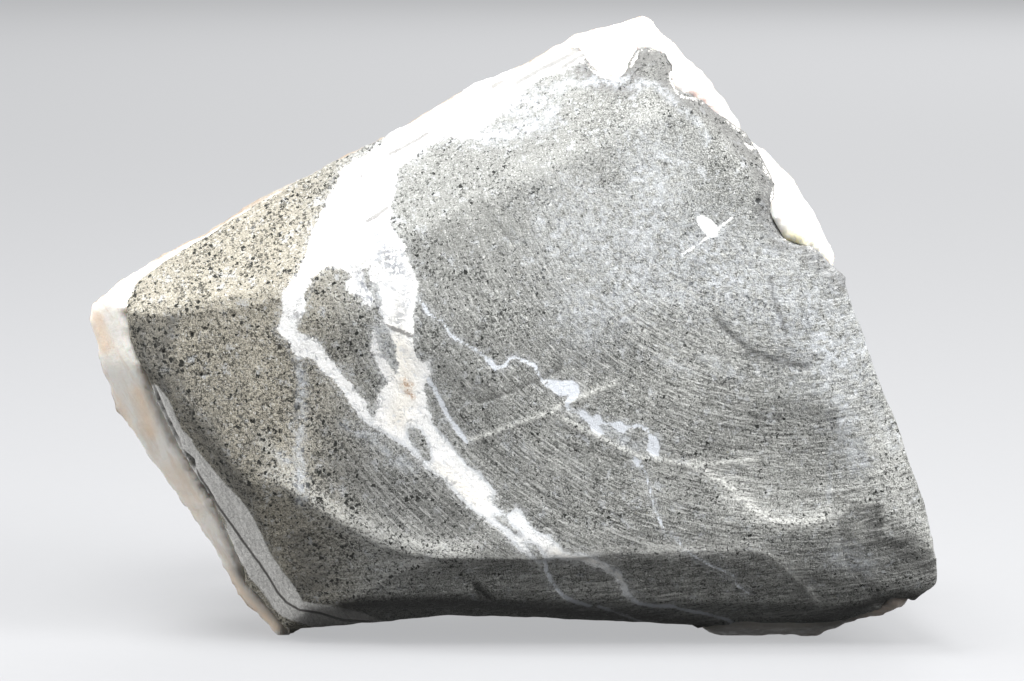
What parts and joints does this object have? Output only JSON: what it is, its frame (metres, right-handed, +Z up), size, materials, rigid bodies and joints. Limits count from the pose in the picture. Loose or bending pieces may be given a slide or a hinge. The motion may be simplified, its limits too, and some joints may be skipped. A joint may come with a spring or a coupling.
{
  "type": "mineral specimen",
  "caption": "Hand-sized mineral specimen: a ground block of veined, pitted basalt with a stilbite crust and clear apophyllite crystals on its far side.",
  "frame": {"origin": "centre of the bounding box on the surface that the specimen rests on", "axes": "+Z up; the ground, veined face points to -Y and the crystals to +Y; +X runs along the longest side"},
  "size_m": [0.1216, 0.0584, 0.0902],
  "materials": {
    "basalt": "ground, pitted, matt, with white veins",
    "stilbite": "pearly, ivory to peach",
    "apophyllite": "clear, glassy"
  },
  "bodies": {
    "root": {"basalt_matrix": "basalt", "stilbite_crust": "stilbite", "apophyllite_large": "apophyllite", "apophyllite_right": "apophyllite", "apophyllite_upper": "apophyllite", "apophyllite_left": "apophyllite", "apophyllite_lower": "apophyllite"}
  },
  "joints": []
}
